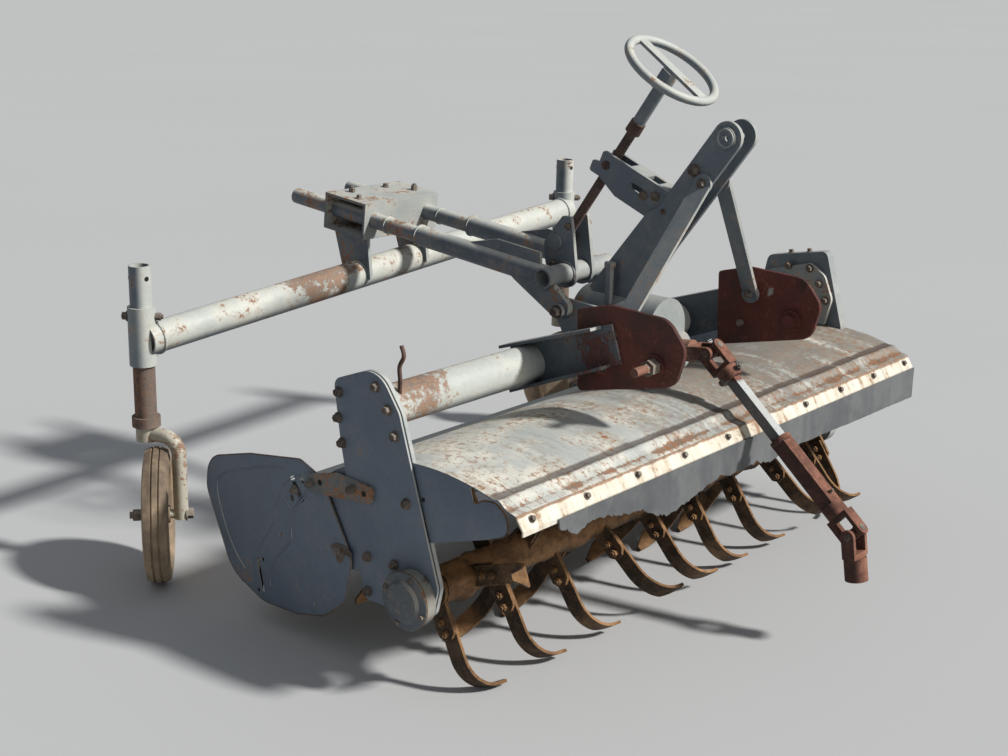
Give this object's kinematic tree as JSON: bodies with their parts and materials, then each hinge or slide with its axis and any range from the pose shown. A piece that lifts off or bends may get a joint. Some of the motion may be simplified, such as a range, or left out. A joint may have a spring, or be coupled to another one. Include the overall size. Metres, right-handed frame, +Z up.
{
  "type": "rotary tiller",
  "caption": "Mounted rotary tiller with side chain drive, curved tines, steel hood, hinged rear cover, hanging drive shaft and screw-set gauge wheels.",
  "frame": {"origin": "on the floor under the middle of the overall box", "axes": "+X along the rotor away from the chain case, -Y towards the tractor, +Z up"},
  "size_m": [2.1536, 2.0206, 1.5172],
  "materials": {
    "frame_paint": "faded and rusted",
    "hood_paint": "faded with rust stains",
    "hitch_paint": "red brown, worn",
    "fork_paint": "cream, dirty",
    "cast_housing": "painted and rusted",
    "soiled_steel": "soil and rust",
    "rusty_steel": "rusty",
    "flap_rubber": "dusty, torn",
    "wheel_rubber": "dusty"
  },
  "bodies": {
    "tiller_frame": {"chain_case": "frame_paint", "far_side_plate": "frame_paint", "beam_tube_near": "frame_paint", "beam_tube_far": "frame_paint", "gearbox": "cast_housing", "input_yoke": "rusty_steel", "hood": "hood_paint", "hood_lip": "hood_paint", "front_flap": "flap_rubber", "hitch_arm_near": "frame_paint", "hitch_plate_near": "hitch_paint", "hitch_arm_far": "frame_paint", "hitch_plate_far": "hitch_paint", "mast_plate_near": "frame_paint", "mast_brace_near": "frame_paint", "mast_plate_far": "frame_paint", "mast_brace_far": "frame_paint", "crank_bracket": "frame_paint", "pivot_bracket_near": "frame_paint", "pivot_bracket_far": "frame_paint", "cover_strap_near": "frame_paint", "cover_strap_far": "frame_paint"},
    "rotor": {"rotor": "soiled_steel"},
    "rear_cover": {"rear_cover": "hood_paint", "side_shield_near": "hood_paint", "side_shield_far": "hood_paint"},
    "wheel_frame": {"levers": "frame_paint", "long_tube_near": "frame_paint", "long_tube_far": "frame_paint", "box_bracket": "frame_paint", "rear_bar": "frame_paint", "post_near": "frame_paint", "post_far": "frame_paint"},
    "caster_near": {"wheel_fork_near": "fork_paint"},
    "caster_far": {"wheel_fork_far": "fork_paint"},
    "wheel_near": {"gauge_wheel_near": "wheel_rubber"},
    "wheel_far": {"gauge_wheel_far": "wheel_rubber"},
    "jack_nut": {"jack_nut": "rusty_steel"},
    "jack_foot": {"jack_foot": "rusty_steel"},
    "hand_wheel": {"hand_wheel": "rusty_steel"},
    "cross_upper": {"cross_upper": "rusty_steel"},
    "drive_inner": {"drive_inner": "rusty_steel"},
    "drive_outer": {"drive_outer": "rusty_steel"},
    "cross_lower": {"cross_lower": "rusty_steel"},
    "end_yoke": {"end_yoke": "rusty_steel"}
  },
  "joints": [
    {"name": "rotor_spin", "type": "hinge", "parent": "tiller_frame", "child": "rotor", "pos_m": [0.0125, -0.3235, 0.2536], "axis": [1, 0, 0], "continuous": true},
    {"name": "cover_hinge", "type": "hinge", "parent": "tiller_frame", "child": "rear_cover", "pos_m": [0.0125, 0.0245, 0.452], "axis": [1, 0, 0], "range_deg": [-2, 20]},
    {"name": "wheel_frame_hinge", "type": "hinge", "parent": "tiller_frame", "child": "wheel_frame", "pos_m": [0.0125, -0.0915, 0.77], "axis": [1, 0, 0], "range_deg": [-3, 12]},
    {"name": "jack_nut_turn", "type": "hinge", "parent": "tiller_frame", "child": "jack_nut", "pos_m": [0.0125, -0.1455, 1.167], "axis": [1, 0, 0], "range_deg": [-5.41, 2.1]},
    {"name": "screw_travel", "type": "slide", "parent": "jack_nut", "child": "jack_foot", "axis": [0, 0.5605, -0.8282], "range_m": [-0.0381, 0.0118]},
    {"name": "hand_wheel_turn", "type": "hinge", "parent": "jack_foot", "child": "hand_wheel", "pos_m": [0.0125, 0.0115, 0.935], "axis": [0, -0.5605, 0.8282], "continuous": true},
    {"name": "upper_joint_lift", "type": "hinge", "parent": "tiller_frame", "child": "cross_upper", "pos_m": [0.0125, -0.5025, 0.706], "axis": [-1, 0, 0], "range_deg": [0, 60]},
    {"name": "upper_joint_swing", "type": "hinge", "parent": "cross_upper", "child": "drive_inner", "pos_m": [0.0125, -0.5025, 0.706], "axis": [0, -0.6508, 0.7593], "range_deg": [-20, 20]},
    {"name": "drive_slide", "type": "slide", "parent": "drive_inner", "child": "drive_outer", "axis": [0, -0.7593, -0.6508], "range_m": [-0.1, 0.05]},
    {"name": "lower_joint_swing", "type": "hinge", "parent": "drive_outer", "child": "cross_lower", "pos_m": [0.0125, -0.96034, 0.31358], "axis": [0, -0.6508, 0.7593], "range_deg": [-20, 20]},
    {"name": "lower_joint_lift", "type": "hinge", "parent": "cross_lower", "child": "end_yoke", "pos_m": [0.0125, -0.96034, 0.31358], "axis": [-1, 0, 0], "range_deg": [0, 80]},
    {"name": "caster_swivel_near", "type": "hinge", "parent": "wheel_frame", "child": "caster_near", "pos_m": [-0.9175, 0.7305, 0.43], "axis": [0, 0, 1], "continuous": true},
    {"name": "wheel_spin_near", "type": "hinge", "parent": "caster_near", "child": "wheel_near", "pos_m": [-0.93615, 0.66783, 0.19], "axis": [-0.766, 0.6428, 0], "continuous": true},
    {"name": "caster_swivel_far", "type": "hinge", "parent": "wheel_frame", "child": "caster_far", "pos_m": [0.9175, 0.7305, 0.43], "axis": [0, 0, 1], "continuous": true},
    {"name": "wheel_spin_far", "type": "hinge", "parent": "caster_far", "child": "wheel_far", "pos_m": [0.93615, 0.66783, 0.19], "axis": [0.766, 0.6428, 0], "continuous": true}
  ],
  "couplings": [
    {"joint": "jack_nut_turn", "follows": "wheel_frame_hinge", "ratio": -0.36709},
    {"joint": "screw_travel", "follows": "wheel_frame_hinge", "m_per_rad": -0.16744}
  ]
}
